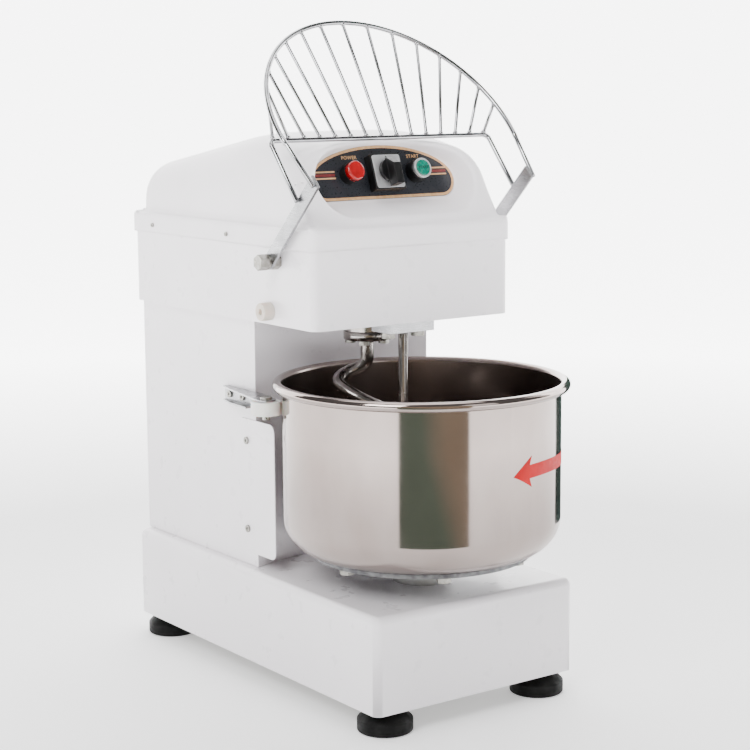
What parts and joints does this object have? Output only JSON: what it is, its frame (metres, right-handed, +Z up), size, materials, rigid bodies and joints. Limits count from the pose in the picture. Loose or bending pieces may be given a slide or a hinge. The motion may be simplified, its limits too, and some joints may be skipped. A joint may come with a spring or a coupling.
{
  "type": "spiral dough mixer",
  "caption": "Small floor-standing spiral dough mixer: white box base and column, moulded hood with control panel, turning stainless bowl, spiral hook, breaker bar and hinged wire guard.",
  "frame": {"origin": "centre of the overall box, on the floor under the feet", "axes": "-Y is the front where the bowl stands, +X is the right side seen from the front, +Z is up"},
  "size_m": [0.3896, 0.693, 0.8918],
  "materials": {
    "white_paint": "glossy white stove enamel",
    "polished_stainless": "polished stainless steel",
    "stainless_sheet": "fine satin stainless steel",
    "chrome_wire": "bright chrome plate",
    "zinc": "zinc plated steel",
    "ground_steel": "ground steel",
    "cast_iron": "oiled cast iron",
    "motor_paint": "satin blue grey paint",
    "rubber": "matte black rubber",
    "black_plastic": "fine moulded black plastic",
    "panel_plastic": "satin dark grey film",
    "gold_trim": "satin gold print",
    "red_lens": "clear red lens",
    "green_plastic": "glossy green plastic",
    "nylon": "turned ivory nylon",
    "grey_plastic": "grey moulded plastic"
  },
  "bodies": {
    "root": {"base_housing": "white_paint", "base_plate": "zinc", "feet": "rubber", "foot_bolts": "zinc", "column_shell": "white_paint", "rear_panel": "white_paint", "head_housing": "white_paint", "head_cover": "white_paint", "control_panel": "panel_plastic", "panel_trim": "gold_trim", "lamp_body": "black_plastic", "lamp_lens": "red_lens", "switch_body": "black_plastic", "switch_plate": "stainless_sheet", "button_body": "black_plastic", "button_ring": "chrome_wire", "bowl_hub": "cast_iron", "spindle_bearings": "ground_steel", "shaft_bearings": "cast_iron", "hook_housing": "cast_iron", "motor": "motor_paint", "motor_mount": "zinc", "breaker_bracket": "stainless_sheet", "breaker_bar": "polished_stainless", "breaker_bolts": "zinc", "side_guards": "white_paint", "body_screws": "zinc", "roller_brackets": "stainless_sheet", "roller_pins": "zinc", "guard_buffers": "nylon", "guard_pivots": "zinc", "guard_switch": "black_plastic", "v_belt": "rubber", "hook_chain": "cast_iron", "transfer_chain": "cast_iron", "bowl_chain": "cast_iron", "contactor": "grey_plastic", "cable_gland": "black_plastic"},
    "bowl": {"bowl": "polished_stainless", "turntable": "zinc", "turntable_bolts": "zinc", "bowl_spindle": "ground_steel", "bowl_sprocket": "cast_iron"},
    "hook": {"hook": "polished_stainless", "hook_spindle": "polished_stainless", "hook_bolts": "zinc", "hook_sprocket": "cast_iron"},
    "main_shaft": {"main_shaft": "ground_steel", "main_wheels": "cast_iron"},
    "idler": {"idler_shaft": "ground_steel", "idler_wheels": "cast_iron"},
    "motor_rotor": {"motor_rotor": "ground_steel"},
    "roller_left": {"roller_left": "nylon"},
    "roller_right": {"roller_right": "nylon"},
    "guard": {"guard_arms": "stainless_sheet", "guard_ring": "chrome_wire", "guard_frame": "chrome_wire", "guard_spokes": "chrome_wire"},
    "switch_knob": {"switch_knob": "black_plastic"},
    "start_button": {"start_button": "green_plastic"}
  },
  "joints": [
    {"name": "hook_spin", "type": "hinge", "parent": "root", "child": "hook", "pos_m": [0, -0.03065, 0.52], "axis": [0, 0, -1], "continuous": true},
    {"name": "bowl_spin", "type": "hinge", "parent": "root", "child": "bowl", "pos_m": [0, -0.15165, 0.2], "axis": [0, 0, -1], "continuous": true},
    {"name": "main_spin", "type": "hinge", "parent": "root", "child": "main_shaft", "pos_m": [0, 0.118, 0.3], "axis": [0, 0, -1], "continuous": true},
    {"name": "idler_spin", "type": "hinge", "parent": "root", "child": "idler", "pos_m": [0, -0.002, 0.1], "axis": [0, 0, -1], "continuous": true},
    {"name": "motor_spin", "type": "hinge", "parent": "root", "child": "motor_rotor", "pos_m": [0, 0.24, 0.5], "axis": [0, 0, -1], "continuous": true},
    {"name": "roller_left_spin", "type": "hinge", "parent": "root", "child": "roller_left", "pos_m": [-0.1652, -0.03265, 0.389], "axis": [0, 0, -1], "continuous": true},
    {"name": "roller_right_spin", "type": "hinge", "parent": "root", "child": "roller_right", "pos_m": [0.1652, -0.03265, 0.389], "axis": [0, 0, -1], "continuous": true},
    {"name": "guard_hinge", "type": "hinge", "parent": "root", "child": "guard", "pos_m": [0, -0.05655, 0.583], "axis": [1, 0, 0], "range_deg": [0, 132.5]},
    {"name": "knob_turn", "type": "hinge", "parent": "root", "child": "switch_knob", "pos_m": [0, -0.06715, 0.6889], "axis": [0, -0.9397, 0.342], "range_deg": [-45, 45]},
    {"name": "start_press", "type": "slide", "parent": "root", "child": "start_button", "axis": [0, 0.9397, -0.342], "range_m": [0, 0.004], "stiffness_N_per_m": 600}
  ],
  "couplings": [
    {"joint": "bowl_spin", "follows": "hook_spin", "ratio": 0.11905},
    {"joint": "main_spin", "follows": "hook_spin", "ratio": 2.5},
    {"joint": "idler_spin", "follows": "hook_spin", "ratio": 0.59524},
    {"joint": "motor_spin", "follows": "hook_spin", "ratio": 8.4184},
    {"joint": "roller_left_spin", "follows": "hook_spin", "ratio": -1.0911},
    {"joint": "roller_right_spin", "follows": "hook_spin", "ratio": -1.0911}
  ]
}
